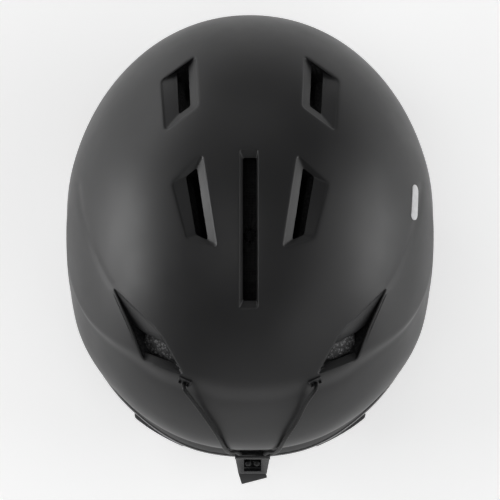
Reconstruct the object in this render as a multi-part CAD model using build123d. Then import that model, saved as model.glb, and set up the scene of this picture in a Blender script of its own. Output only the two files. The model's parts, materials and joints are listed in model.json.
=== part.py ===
"""Ski helmet: shell, liner, pads, dial fit system, chin strap and goggle retainer.

Millimetres. +Z is up, the brow faces -Y and the wearer's left is +X. Every piece is modelled about
the middle of the shell's plan, and write_node() then moves it so that the origin lies under the
middle of the whole helmet, on the surface that it stands on.
"""
from build123d import *
import functools
import math
import os

# Driving dimensions -------------------------------------------------------------------------
HALF_WIDTH = 115.3
FRONT_LENGTH = 136.5
REAR_LENGTH = 137.3
FRONT_POWER = 2.05      # plan outline: superellipse power of the front half
REAR_POWER = 2.2
APEX_Z = 190.0
EQUATOR_Z = 78.0        # level of the widest outline
SHELL_THICKNESS = 2.0
LAYER_GAP = 0.3         # free gap between nested layers
VENT_DEPTH = 14.0
TRIM_HEIGHT = 5.0
TRIM_WIDTH = 7.0
PLAN_CENTRE_Y = -9.9    # shell's plan centre, seen from the origin
RIM_LINE = [(-160, 73), (-112, 71), (-78, 63), (-45, 54), (0, 49), (50, 45), (90, 40.5),
            (122, 38), (160, 38)]      # (y, z) of the lower edge, from the brow to the nape

CAVITY_HALF_WIDTH = 86.0
CAVITY_FRONT = 109.0
CAVITY_REAR = 108.0
CAVITY_APEX_Z = 161.0
CAVITY_EQUATOR_Z = 70.0
PAD_THICKNESS = 7.0
DOT_THICKNESS = 1.0

RING_RADIUS = 80.0      # fit system: its bands lie on a ring tilted about X
RING_CENTRE = (0, 20.8, 49.4)
RING_TILT = 20.0
PITCH_RADIUS = 5.0      # pinion on the dial's shaft
TOOTH_COUNT = 10
BAND_THICKNESS = 1.6
BAND_MID_LEFT = 79.3    # radius of the middle of each band
BAND_MID_RIGHT = 81.5
CRADLE_Y = 102.4        # hanger between the ring's housing and the liner
CRADLE_TOP_Z = 65.0

STRAP_WIDTH = 15.0
STRAP_THICKNESS = 1.6
CHIN_PIVOT_Y = 5.0
CHIN_PIVOT_Z = 13.5
STRAP_X = 78.0          # middle of the webbing beside each cheek
RIVET_RADIUS = 3.0
RUNNING_GAP = 0.05
FRONT_LEG = (-35, -6)   # y of each strap leg's anchor and of its foot at the divider
REAR_LEG = (45, 15)
ANCHOR_PLACES = [(side * 90.5, leg[0]) for side in (1, -1) for leg in (FRONT_LEG, REAR_LEG)]
STRAP_CORNERS = [(-STRAP_X, 11), (-STRAP_X, -34), (-56, -76), (-26, -98), (26, -98), (56, -76),
                 (STRAP_X, -34), (STRAP_X, 11)]
STRAP_BEND_RADIUS = 22
BUCKLE_MIDDLE = Vector(68.4, -52.3, CHIN_PIVOT_Z)
BUCKLE_ALONG = Vector(22, 42, 0).normalized()
BUCKLE_OUT = Vector(BUCKLE_ALONG.Y, -BUCKLE_ALONG.X, 0)

CLIP_X = -1.6           # the retainer's clip hangs a little off centre
CLIP_PIVOT = (137.2, 60.2)  # y and z of the bar that the cords end on
CORD_RADIUS = 1.25

# Outlines of the left-hand vents in plan; the right-hand ones mirror them. Each is a recess in the
# shell and the narrower hole at its bottom.
FRONT_VENT = (
    [(53.2, -92.9), (32.9, -107.4), (31.0, -76.2), (50.1, -62.1)],
    [(43.8, -97.5), (36.9, -102.3), (35.3, -76.4), (42.1, -71.6)],
)
MIDDLE_VENT = (
    [(45.7, -30.5), (28.1, -46.9), (19.5, 7.0), (37.3, 1.7)],
    [(37.6, -34.2), (31.1, -39.5), (24.6, 2.8), (31.6, -0.1)],
)
REAR_VENT = (
    [(81.0, 31.0), (57.2, 53.9), (39.9, 82.3), (63.3, 74.1), (72.6, 53.2)],
    [(74.5, 47.0), (57.2, 58.5), (44.5, 76.5), (62.5, 69.5), (70.5, 56.0)],
)
CENTRE_SLOT = (
    [(6.0, -50.0), (-4.8, -50.0), (-4.8, 42.5), (6.0, 42.5)],
    [(4.0, -45.0), (-3.8, -45.0), (-3.8, 37.7), (4.0, 37.7)],
)


# Helmet surface -----------------------------------------------------------------------------
def blend(low, high, value):
    """Smooth step from 0 at low to 1 at high."""
    t = min(1.0, max(0.0, (value - low) / (high - low)))
    return t * t * (3 - 2 * t)


def plan_radius(angle, half_width, front, rear):
    """Superellipse outline; angle 0 is +X and 90 is the rear."""
    length, power = (rear, REAR_POWER) if math.sin(angle) >= 0 else (front, FRONT_POWER)
    across = abs(math.cos(angle)) / half_width
    along = abs(math.sin(angle)) / length
    return (across**power + along**power) ** (-1 / power)


def rear_waist(angle, z):
    """Fraction by which the neck is drawn in under the back of the head."""
    from_rear = abs(math.degrees(angle) - 90)
    share = 1 - blend(25, 65, from_rear)
    if z >= EQUATOR_Z:
        return share * 0.048 * (1 - blend(EQUATOR_Z, 124, z))
    return share * 0.048 * blend(38, 58, z)


def crease(angle, z):
    """Soft ridge that runs round the back of the head like a horseshoe."""
    from_rear = abs(math.degrees(angle) - 90)
    ridge_z = EQUATOR_Z + (APEX_Z - EQUATOR_Z) * (0.71 - 0.38 * blend(10, 95, from_rear))
    strength = 1 - blend(80, 110, from_rear)
    below = blend(0, 10, ridge_z - z) * (1 - blend(12, 50, ridge_z - z))
    return -2.5 * strength * below


def side_tuck(z):
    """The sides lean in a little towards the ears."""
    return 0.03 * blend(EQUATOR_Z, 34, z) if z < EQUATOR_Z else 0.0


def outer_ring(z, offset):
    """Closed curve round the helmet's outer surface, offset inwards, at one level."""
    height = APEX_Z - EQUATOR_Z - offset
    rise = max(0.0, (z - EQUATOR_Z) / height)
    fraction = math.sqrt(1 - rise * rise)
    points = []
    for step in range(36):
        angle = 2 * math.pi * step / 36
        radius = plan_radius(angle, HALF_WIDTH - offset, FRONT_LENGTH - offset, REAR_LENGTH - offset)
        radius *= fraction - rear_waist(angle, z) - side_tuck(z)
        radius += crease(angle, z)
        points.append((radius * math.cos(angle), radius * math.sin(angle), z))
    return Wire([Spline(points, periodic=True)])


@functools.cache
def dome(offset):
    """Solid bounded by the outer surface, offset inwards, and open downwards to z = 30."""
    height = APEX_Z - EQUATOR_Z - offset
    levels = [30, 40, 48, 58, 68, EQUATOR_Z]
    for elevation in (10, 20, 29, 37, 45, 53, 61, 69, 76, 83):
        levels.append(EQUATOR_Z + height * math.sin(math.radians(elevation)))
    rings = [outer_ring(z, offset) for z in levels]
    return Solid.make_loft(rings + [Vertex(0, 0, APEX_Z - offset)])


@functools.cache
def cavity(offset):
    """Space for the head, offset inwards: a smooth cap on a straight skirt."""
    height = CAVITY_APEX_Z - CAVITY_EQUATOR_Z - offset
    levels = [(20, 1.0), (45, 1.0), (CAVITY_EQUATOR_Z, 1.0)]
    for elevation in (15, 30, 45, 58, 70, 81):
        t = math.radians(elevation)
        levels.append((CAVITY_EQUATOR_Z + height * math.sin(t), math.cos(t)))
    rings = []
    for z, fraction in levels:
        points = []
        for step in range(24):
            angle = 2 * math.pi * step / 24
            radius = fraction * plan_radius(
                angle, CAVITY_HALF_WIDTH - offset, CAVITY_FRONT - offset, CAVITY_REAR - offset)
            points.append((radius * math.cos(angle), radius * math.sin(angle), z))
        rings.append(Wire([Spline(points, periodic=True)]))
    return Solid.make_loft(rings + [Vertex(0, 0, CAVITY_APEX_Z - offset)])


@functools.cache
def rim_cut(rise):
    """Everything below the rim's line, raised by rise, as one block to cut away."""
    line = Spline([(y, z + rise) for y, z in RIM_LINE])
    close = Polyline(line @ 1, (160, -20), (-160, -20), line @ 0)
    side = make_face(Wire([line, *close.edges()]))
    return extrude(Plane.YZ * side, amount=130, both=True)


def surface_z(x, y):
    """Height of the plain dome above a plan point."""
    share = math.hypot(x, y) / plan_radius(math.atan2(y, x), HALF_WIDTH, FRONT_LENGTH, REAR_LENGTH)
    return EQUATOR_Z + (APEX_Z - EQUATOR_Z) * math.sqrt(max(0.0, 1 - share * share))


def surface_normal(x, y):
    step = 0.5
    slope_x = (surface_z(x + step, y) - surface_z(x - step, y)) / (2 * step)
    slope_y = (surface_z(x, y + step) - surface_z(x, y - step)) / (2 * step)
    return Vector(-slope_x, -slope_y, 1).normalized()


def grown(outline, amount):
    """Plan outline with every point moved outwards from its middle."""
    middle = Vector(sum(x for x, _ in outline), sum(y for _, y in outline)) * (1 / len(outline))
    moved = []
    for x, y in outline:
        away = Vector(x, y) - middle
        point = Vector(x, y) + away.normalized() * amount
        moved.append((point.X, point.Y))
    return moved


def on_plane(outline, origin, normal):
    """Plan outline dropped straight onto a tilted plane, as a closed wire."""
    points = []
    for x, y in outline:
        z = origin.Z - (normal.X * (x - origin.X) + normal.Y * (y - origin.Y)) / normal.Z
        points.append(Vector(x, y, z))
    return Wire.make_polygon(points, close=True)


def vent_tool(vent, grow=0.0, outside=12.0, inside=60.0):
    """Tapered recess that narrows into a straight hole, square to the shell."""
    recess, hole = (grown(outline, grow) for outline in vent)
    x = sum(p[0] for p in recess) / len(recess)
    y = sum(p[1] for p in recess) / len(recess)
    normal = surface_normal(x, y)
    top = Vector(x, y, surface_z(x, y)) - normal * 1.0
    recess_wire = on_plane(recess, top, normal)
    hole_wire = on_plane(hole, top, normal).translate(normal * -VENT_DEPTH)
    tool = Solid.make_loft([hole_wire, recess_wire], ruled=True)
    tool += extrude(Face(recess_wire), amount=outside, dir=normal)
    tool += extrude(Face(hole_wire), amount=inside, dir=-normal)
    return tool


def mirrored(shape):
    return shape.mirror(Plane.YZ)


def both_sides(shape):
    return [shape, mirrored(shape)]


def vent_tools(grow=0.0, **reach):
    tools = [vent_tool(CENTRE_SLOT, grow, **reach)]
    for vent in (FRONT_VENT, MIDDLE_VENT, REAR_VENT):
        tools += both_sides(vent_tool(vent, grow, **reach))
    return tools


def cut_all(shape, tools):
    for tool in tools:
        shape = shape - tool
    return shape


def write_node(name, *shapes):
    """Write one node's solids, moved from the plan centre to the helmet's own origin."""
    solids = [solid for shape in shapes for solid in shape.solids()]
    moved = [Pos(0, PLAN_CENTRE_Y, 0) * solid for solid in solids]
    export_step(moved[0] if len(moved) == 1 else Compound(children=moved), f"parts/{name}.step")


def slab(start, end, width, thickness, facing):
    """Straight strip between two points; facing is roughly the outward normal of its flat side."""
    start, end = Vector(start), Vector(end)
    along = end - start
    across = along.cross(Vector(facing)).normalized()
    frame = Plane(origin=(start + end) * 0.5, x_dir=across, z_dir=along.normalized())
    return frame * Box(width, thickness, along.length)


# Shell, liner and trim ----------------------------------------------------------------------
def make_shell():
    body = dome(0) - dome(SHELL_THICKNESS) - rim_cut(TRIM_HEIGHT + 0.2)
    band = dome(0) - dome(VENT_DEPTH)
    for wall, hole in zip(vent_tools(1.6), vent_tools()):
        sleeve = (wall & band) - hole
        body = (body - hole) + sleeve
    return cut_all(body, cord_slots(0))


def cord_slots(grow):
    """Slots at the back where the retainer's two cords come out."""
    frame = Plane(origin=(39, 87, surface_z(39, 87)), x_dir=(1, -0.4, 0), z_dir=surface_normal(39, 87))
    return both_sides(frame * Box(8 + grow, 5.6 + grow, 30))


def slot_frames():
    """Moulded eyelets that line the cord slots, each notched where its cord bends over the edge."""
    layer = dome(-0.5) - dome(SHELL_THICKNESS + 6)
    eyelet = (cord_slots(-0.1)[0] & layer) - cord_slots(-1.8)[0]
    notch = slab(LEFT_CORD[1], LEFT_CORD[3], 3.4, 3.4, (0, 0, 1))
    return both_sides(eyelet - notch - slab(LEFT_CORD[0], LEFT_CORD[1], 3.4, 3.4, (0, 0, 1)))


def make_liner():
    body = dome(SHELL_THICKNESS + LAYER_GAP) - cavity(0) - rim_cut(TRIM_HEIGHT + 0.2)
    body = cut_all(body, vent_tools(1.6 + LAYER_GAP))
    body = cut_all(body, cord_slots(1.0))
    for x, y in ANCHOR_PLACES:
        body -= Pos(x, y, rim_height(y)) * Box(12.6, 28.6, 40)
    return cut_all(body, make_snaps(0.15) + cradle_pins(0.1) + guide_pins(0.1))


def make_trim():
    ring = dome(-0.8) - dome(TRIM_WIDTH - 0.8)
    return ring & (rim_cut(TRIM_HEIGHT) - rim_cut(0))


def rim_height(y):
    """Level of the rim's line near a place beside the ears."""
    return 49.0 - 0.09 * max(y, 0) + 0.11 * max(-y, 0)


def make_badge():
    """Plain pill on the right-hand side of the shell."""
    normal = surface_normal(-99, -20)
    frame = Plane(origin=(-99, -20, surface_z(99, -20)), x_dir=(0, 1, 0.25), z_dir=normal)
    pill = extrude(frame * SlotOverall(26, 8), amount=8, both=True)
    return pill & (dome(-0.6) - dome(-0.05))


# Comfort liner ------------------------------------------------------------------------------
def pad_block(x, y, z_low, z_high, width, depth):
    return Pos(x, y, (z_low + z_high) / 2) * Box(width, depth, z_high - z_low)


def make_pads():
    """Foam pads inside the liner, each a patch of one layer under its surface."""
    start = DOT_THICKNESS + 0.3
    layer = cavity(start) - cavity(start + PAD_THICKNESS)
    layer = cut_all(layer, [vent_tool(CENTRE_SLOT, 3.0)])
    pads = {
        "brow_pad": layer & pad_block(0, -85, 76, 104, 150, 60),
        "rear_pad": layer & pad_block(0, 88, 72, 104, 90, 60),
    }
    crown = layer & pad_block(16, -2, 120, 175, 17, 96)
    pads["crown_pad_left"] = crown
    pads["crown_pad_right"] = mirrored(crown)
    side = layer & pad_block(70, 4, 76, 112, 60, 84)
    pads["side_pad_left"] = side
    pads["side_pad_right"] = mirrored(side)
    return pads


def make_dots():
    """Hook-and-loop discs between the liner and its pads."""
    layer = cavity(0.15) - cavity(0.15 + DOT_THICKNESS)
    dots = []
    for x in (-40, 0, 40):
        dots.append(layer & (Pos(x, -90, 90) * Rot(90, 0, 0) * Cylinder(7, 60)))
    for x in (-28, 28):
        dots.append(layer & (Pos(x, 90, 88) * Rot(90, 0, 0) * Cylinder(7, 60)))
    for y in (-24, 30):
        for side in (-1, 1):
            dots.append(layer & (Pos(side * 70, y, 94) * Rot(0, 90, 0) * Cylinder(7, 60)))
    for y in (-22, 34):
        for x in (-16, 16):
            dots.append(layer & (Pos(x, y, 150) * Cylinder(6, 60)))
    return dots


def make_ear_pad():
    """Left ear pad: D-shaped cushion that hangs from the rim and carries the helmet on a table."""
    outline = FilletPolyline((-48, 49), (50, 43), (52, 16), (30, 0), (-26, 0), (-46, 20),
                             radius=[8, 8, 22, 22, 22, 8], close=True)
    face = make_face(Plane.YZ * Wire(outline.edges()))
    pad = extrude(face, amount=14, dir=(1, 0, 0))
    pad = fillet(pad.faces().filter_by(Axis.X).edges(), 3.0)
    return Pos(92, 0, 0) * pad


def make_ear_fleece():
    """Thin fleece panel on the inner face of the left ear pad."""
    outline = FilletPolyline((-40, 41), (42, 37), (44, 20), (27, 7), (-23, 7), (-38, 22),
                             radius=[6, 6, 14, 14, 14, 6], close=True)
    face = make_face(Plane.YZ * Wire(outline.edges()))
    return Pos(90.6, 0, 0) * extrude(face, amount=1.3, dir=(1, 0, 0))


def make_snaps(grow=0.0):
    """Snap studs that hold the ear pads up against the liner."""
    studs = []
    for y in (-14, 24):
        low = 49.0 - 0.061 * (y + 48) + 0.3
        high = rim_height(y) + TRIM_HEIGHT + 5
        studs += both_sides(Pos(98, y, (low + high) / 2) * Cylinder(3.5 + grow, high - low + grow))
    return studs


def make_nape_pad():
    """Left half of the padded roll under the back rim."""
    outer = Spline([(39.5, 134.8), (52, 129.0), (64, 122.0), (75.3, 113.4)])
    inner = Spline([(66, 104.0), (56, 111.0), (46, 117.0), (36, 121.5)])
    outline = Wire([*outer.edges(), Line(outer @ 1, inner @ 0), *inner.edges(), Line(inner @ 1, outer @ 0)])
    pad = extrude(Plane.XY.offset(9) * make_face(outline), amount=27.5)
    return fillet(pad.edges().filter_by(Axis.Z), 2.5)


# Fit system ---------------------------------------------------------------------------------
RING_PLANE = Plane(
    origin=RING_CENTRE, x_dir=(1, 0, 0),
    z_dir=(0, math.sin(math.radians(RING_TILT)), math.cos(math.radians(RING_TILT))))


def ring_sector(inner, outer, low, high, half_height, middle=0.0):
    """Piece of a ring between two angles, counted from the rear towards the wearer's left."""
    tube = Cylinder(outer, 2 * half_height) - Cylinder(inner, 2 * half_height)
    reach = 2 * outer
    count = max(1, math.ceil((high - low) / 60))
    edge_angles = [math.radians(90 - low - (high - low) * i / count) for i in range(count + 1)]
    corners = [(0, 0)] + [(reach * math.cos(a), reach * math.sin(a)) for a in edge_angles]
    wedge = extrude(make_face(Polyline(*corners, close=True)), amount=half_height + 1, both=True)
    return RING_PLANE * (Pos(0, 0, middle) * (tube & wedge))


def radial_box(angle, radius, width, depth, height, middle=0.0):
    """Box on the ring: width along the ring, depth along its radius, height along its axis."""
    turn = math.radians(90 - angle)
    place = Plane(origin=(radius * math.cos(turn), radius * math.sin(turn), middle),
                  x_dir=(math.sin(turn), -math.cos(turn), 0), z_dir=(0, 0, 1))
    return RING_PLANE * (place * Box(width, depth, height))


def make_band(mid, side, rack_side):
    """Toothed band of the fit ring on one side; rack_side is the slot edge with the teeth."""
    low, high = -9.0, 110.0
    half_height = 8.5
    inner, outer = mid - BAND_THICKNESS / 2, mid + BAND_THICKNESS / 2
    band = ring_sector(inner, outer, low, 40, half_height)
    band += ring_sector(inner, outer, 39.9, high, 4.5)
    slot_low, slot_high = -6.0, 23.5
    slot = ring_sector(inner - 1, outer + 1, slot_low, slot_high, 6.05)
    band -= slot
    pitch_angle = math.degrees(2 * math.pi * PITCH_RADIUS / TOOTH_COUNT / mid)
    first = math.ceil((slot_low + 0.8) / pitch_angle)
    last = math.floor((slot_high - 0.8) / pitch_angle)
    for index in range(first, last + 1):
        angle = index * pitch_angle
        tooth = make_face(Polyline((-0.98, 6.15), (-0.38, 4.4), (0.38, 4.4), (0.98, 6.15), close=True))
        turn = math.radians(90 - angle)
        place = Plane(origin=(inner * math.cos(turn), inner * math.sin(turn), 0),
                      x_dir=(math.sin(turn), -math.cos(turn), 0),
                      z_dir=(-math.cos(turn), -math.sin(turn), 0))
        block = extrude(Plane.XY * tooth, amount=BAND_THICKNESS, dir=(0, 0, -1))
        if rack_side < 0:
            block = block.mirror(Plane.XZ)
        band += RING_PLANE * (place * block)
    if side < 0:
        band = mirrored(band)
    return band


def dial_frame(radius):
    """Plane across the dial's shaft, at a distance from the ring's centre, facing outwards."""
    return RING_PLANE * Plane(origin=(0, radius, 0), x_dir=(1, 0, 0), z_dir=(0, 1, 0))


def make_pinion_blank():
    """Ten-toothed pinion outline about its own axis, with one tooth gap facing each rack tooth."""
    pinion = Circle(4.0)
    for index in range(TOOTH_COUNT):
        tooth = make_face(Polyline((3.7, -0.95), (5.65, -0.38), (5.65, 0.38), (3.7, 0.95), close=True))
        pinion += Rot(0, 0, 90 + 360 / TOOTH_COUNT * (index + 0.5)) * tooth
    return pinion


def make_dial():
    """Knurled dial with its shaft and pinion."""
    grip = Circle(14)
    for index in range(18):
        grip -= Rot(0, 0, index * 20) * (Pos(14.6, 0) * Circle(1.3))
    knob = extrude(dial_frame(86.4) * grip, amount=9)
    knob = knob - extrude(dial_frame(86.3) * Circle(10.5), amount=4.1)
    shaft = extrude(dial_frame(77.4) * Circle(2.5), amount=14)
    pinion = extrude(dial_frame(78.4) * make_pinion_blank(), amount=3.8)
    boss = extrude(dial_frame(84.9) * Circle(5), amount=6)
    return knob + shaft + pinion + boss


def make_housing():
    """Tray that guides both bands and carries the shaft's inner end."""
    tray = ring_sector(75.6, 78.1, -27, 27, 12.5)
    for level in (10.8, -10.8):
        tray += ring_sector(78.0, 84.6, -27, 27, 1.6, level)
    return tray - extrude(dial_frame(70) * Circle(2.5 + RUNNING_GAP), amount=12)


def make_cover():
    """Cover over the bands, with the hole that the dial's shaft turns in."""
    cover = ring_sector(82.6, 84.5, -26.8, 26.8, 9.1)
    cover += extrude(dial_frame(84.0) * Circle(9.0), amount=2.2)
    cover -= extrude(dial_frame(80) * Circle(5 + RUNNING_GAP), amount=10)
    return cover


def make_click_ring():
    """Ratchet ring on the cover, under the dial."""
    frame = dial_frame(86.5)
    ring = Circle(9.4) - Circle(6.2)
    for index in range(24):
        ring -= Rot(0, 0, index * 15) * (Pos(9.6, 0) * Circle(0.7))
    return extrude(frame * ring, amount=2.6)


def make_dial_screw():
    """Screw with a flanged head that holds the dial's shaft from inside."""
    head = extrude(dial_frame(73.4) * Circle(4), amount=1.9)
    return head + extrude(dial_frame(75.2) * Circle(1.2), amount=2.2)


def make_cradle():
    """Flexible hanger between the fit system's housing and the liner, with its two pins."""
    low = RING_PLANE.from_local_coords(Vector(0, 79.5, 12.7))
    hanger = Pos(0, CRADLE_Y, CRADLE_TOP_Z) * Box(40, 1.4, 9)
    for x in (-14, 14):
        hanger += slab((x, low.Y, low.Z), (x, CRADLE_Y, CRADLE_TOP_Z), 10, 1.4, (0, -1, 0))
    for pin in cradle_pins():
        hanger += pin
    return hanger


def cradle_pins(grow=0.0):
    """Pins that hold the hanger in the liner."""
    pin = Rot(90, 0, 0) * Cylinder(2.4 + grow, 11 + grow)
    return [Pos(x, CRADLE_Y + 5, CRADLE_TOP_Z) * pin for x in (-14, 14)]


def make_occiput_pads():
    """Two soft pads on the housing that rest under the back of the head."""
    return [ring_sector(69.5, 75.3, low, low + 17, 9) for low in (-26, 9)]


def make_guide():
    """Left temple guide: a loop round the free end of its band, pinned to the liner."""
    loop = radial_box(86, 80.4, 11, 6.4, 12)
    stem = Pos(82.8, 24, 60) * Box(1.2, 8, 16)
    return loop + stem + guide_pins()[0] - ring_sector(78.1, 82.7, 60, 115, 4.9)


def guide_pins(grow=0.0):
    return both_sides(Pos(86.7, 24, 64) * Rot(0, 90, 0) * Cylinder(2.0 + grow, 7 + grow))


# Chin strap ---------------------------------------------------------------------------------
def make_anchors():
    """Plates set into the liner that the strap legs hang from."""
    blocks = []
    for x, y in ANCHOR_PLACES:
        top = rim_height(y) + 19.5
        low = rim_height(y) + TRIM_HEIGHT - 0.5
        blocks.append(Pos(x, y, (top + low) / 2) * Box(12, 28, top - low))
    legs = [make_leg(*ends, grow=0.3) for ends in (FRONT_LEG, REAR_LEG)]
    return [cut_all(block, legs + [mirrored(leg) for leg in legs]) for block in blocks]


def make_leg(y, foot_y, grow=0.0):
    """Webbing from an anchor down to the divider, on the left side."""
    top = Vector(90.2, y, rim_height(y) + TRIM_HEIGHT + 5)
    return slab(top, (83.3, foot_y, 21.0), STRAP_WIDTH + grow, STRAP_THICKNESS + grow, (1, 0, 0))


def make_divider():
    """Left strap divider: two plates that clamp both legs, with the eye of the chin strap's rivet."""
    outline = FilletPolyline((-21, 27), (31, 26), (16, 6), (-6, 6), radius=[5, 5, 5, 5], close=True)
    face = make_face(Plane.YZ * Wire(outline.edges()))
    inner = Pos(79.6, 0, 0) * extrude(face, amount=2.4, dir=(1, 0, 0))
    outer = Pos(86.4, 0, 0) * extrude(face, amount=1.8, dir=(1, 0, 0))
    bridge = Pos(84.2, CHIN_PIVOT_Y, 9) * Box(4.6, 14, 5)
    eye = Pos(82, CHIN_PIVOT_Y, CHIN_PIVOT_Z) * Rot(0, 90, 0) * Cylinder(RIVET_RADIUS + 0.02, 20)
    return inner + outer + bridge - eye


def make_rivet():
    """Left rivet: the chin strap turns on its shank."""
    along = Rot(0, 90, 0)
    shank = Pos(80.5, CHIN_PIVOT_Y, CHIN_PIVOT_Z) * along * Cylinder(RIVET_RADIUS, 9)
    head = Pos(75.7, CHIN_PIVOT_Y, CHIN_PIVOT_Z) * along * Cylinder(6, 1.4)
    return shank + head


def webbing(points):
    """Webbing that stands on edge along a plan line."""
    path = FilletPolyline(*points, radius=STRAP_BEND_RADIUS)
    low = Plane.XY.offset(CHIN_PIVOT_Z - STRAP_WIDTH / 2)
    band = extrude(low * trace(path, STRAP_THICKNESS), amount=STRAP_WIDTH)
    eye = Pos(0, CHIN_PIVOT_Y, CHIN_PIVOT_Z) * Rot(0, 90, 0) * Cylinder(RIVET_RADIUS + RUNNING_GAP, 200)
    return band - eye


def along_buckle(distance):
    """Plan point on the strap's line, counted from the buckle's middle towards the ear."""
    point = BUCKLE_MIDDLE + BUCKLE_ALONG * distance
    return (point.X, point.Y)


def make_buckle():
    """Buckle body, tongue, release button and its spring.

    In the buckle's frame x runs along the strap towards the ear, y is up and z faces outwards.
    """
    frame = Plane(origin=BUCKLE_MIDDLE, x_dir=BUCKLE_ALONG, z_dir=BUCKLE_OUT)
    shell = fillet(Box(30, 24, 11).edges().filter_by(Axis.Z), 4)
    pocket = Pos(-4, 0, 0) * Box(30, 17, 4.4)
    button_hole = Pos(2, 0, 4) * Cylinder(6.5, 8)
    spring_seat = Pos(2, 0, -3.2) * Cylinder(3, 3.4)
    strap_slot = Pos(14.5, 0, 0) * Box(12, 15.6, 1.9)
    body = shell - pocket - button_hole - spring_seat - strap_slot
    tongue = Pos(-4.5, 0, 0) * Box(24, 16, 3.6)
    tongue += Pos(-20, 0, 0) * fillet(Box(7, 22, 7).edges().filter_by(Axis.Z), 2)
    tongue = tongue - Pos(2, 0, 0) * Box(9, 8.4, 5) - Pos(-22, 0, 0) * Box(6, 15.6, 1.9)
    button = Pos(2, 0, 5.6) * Cylinder(6.3, 3.2) + Pos(2, 0, 1.5) * Cylinder(2.8, 5.2)
    coil = Cylinder(2.4, 3.6) - Cylinder(1.5, 3.6)
    return {
        "buckle_body": frame * body,
        "buckle_tongue": frame * tongue,
        "buckle_button": frame * button,
        "buckle_spring": frame * (Pos(2, 0, -2.95) * coil),
    }


def make_chin_pad():
    """Padded sleeve round the front run of the chin strap."""
    path = FilletPolyline(*STRAP_CORNERS[1:7], radius=STRAP_BEND_RADIUS)
    sleeve = extrude(Plane.XY.offset(0.6) * trace(path, 9.0), amount=26)
    sleeve = sleeve & Pos(0, -90, 13.6) * Box(88, 60, 30)
    strap_hole = extrude(Plane.XY.offset(5.4) * trace(path, STRAP_THICKNESS + 0.6), amount=16.2)
    return fillet(sleeve.edges().filter_by(Axis.Z), 3) - strap_hole


# Goggle retainer ----------------------------------------------------------------------------
LEFT_CORD = [(37.9, 85.6, 153.0), (39.9, 89.2, 158.4), (38.0, 92.8, 158.8), (34.6, 97.4, 154.6),
             (30.4, 103.4, 148.4), (25.6, 110.4, 141.8), (20.8, 118.0, 134.6), (17.2, 124.8, 125.4),
             (14.4, 131.0, 112.5), (11.8, 133.2, 98.0), (9.7, 133.4, 84.0), (7.6, 134.6, 72.4),
             (6.0, 136.2, 63.2)]
RIGHT_CORD = [(-37.9, 85.6, 153.0), (-39.9, 89.2, 158.4), (-38.0, 92.8, 158.8), (-34.6, 97.4, 154.6),
              (-31.4, 103.6, 148.2), (-28.4, 110.8, 141.2), (-23.8, 118.2, 134.0), (-20.0, 124.8, 124.8),
              (-17.3, 130.8, 112.5), (-14.6, 133.2, 98.0), (-12.6, 133.4, 84.0), (-10.8, 134.6, 72.4),
              (-9.2, 136.2, 63.2)]


def corner_radii(points):
    """Largest tangent arc that both runs beside each corner leave room for."""
    radii = []
    for before, corner, after in zip(points, points[1:], points[2:]):
        arriving = Vector(corner) - Vector(before)
        leaving = Vector(after) - Vector(corner)
        half_turn = math.radians(arriving.get_angle(leaving)) / 2
        radii.append(0.45 * min(arriving.length, leaving.length) / math.tan(half_turn))
    return radii


def make_cord(points):
    radii = corner_radii(points)
    path = FilletPolyline(*points, radius=radii)
    start = Plane(origin=path @ 0, z_dir=path % 0)
    cord = sweep(start * Circle(CORD_RADIUS), path=path)
    expected = math.pi * CORD_RADIUS**2 * path.length
    print("cord", round(path.length, 1), "mm, volume", round(cord.volume / expected, 3),
          "of section x length, radii", [round(r) for r in radii])
    return cord


def make_clip():
    """Clip that holds both cords on the rim, with its hook and its pull tab.

    In the plate's frame x runs across the helmet and y runs outwards and down.
    """
    slope = Plane(origin=(CLIP_X, 142.2, 53.2), x_dir=(1, 0, 0), z_dir=(0, 0.7, 0.714))
    plate = make_face(Polyline((-11.2, -9.4), (11.2, -9.4), (8.9, 9.0), (-8.9, 9.0), close=True))
    window = Pos(0, 0.4) * Rectangle(10.8, 12.5)
    frame = extrude(slope * (plate - window), amount=1.6, both=True)
    bar = Pos(CLIP_X, *CLIP_PIVOT) * Rot(0, 90, 0) * Cylinder(2.6, 22)
    post = slab((CLIP_X, 146.4, 48.0), (CLIP_X, 141.6, 34.6), 16, 1.8, (0, 1, 0))
    toe = Pos(CLIP_X, 138.3, 35.7) * Box(16, 7.4, 1.9)
    tab = make_face(Polyline((7.4, 0), (5.2, 8.4), (-10.8, 3.4), (-9.8, 0), close=True))
    tab_frame = Plane(origin=(0, 149.2, 46.2), x_dir=(1, 0, 0), z_dir=(0, 0.5, 0.866))
    pull = extrude(tab_frame * tab, amount=1.0, both=True)
    return {"retainer_clip": frame + bar + post + toe - pull, "retainer_pull_tab": pull}


def make_knots():
    """Knots that end the cords inside the clip's window."""
    return [Pos(x, 142.2, 53.2) * Sphere(2.4) for x in (CLIP_X - 2.7, CLIP_X + 2.7)]


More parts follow.
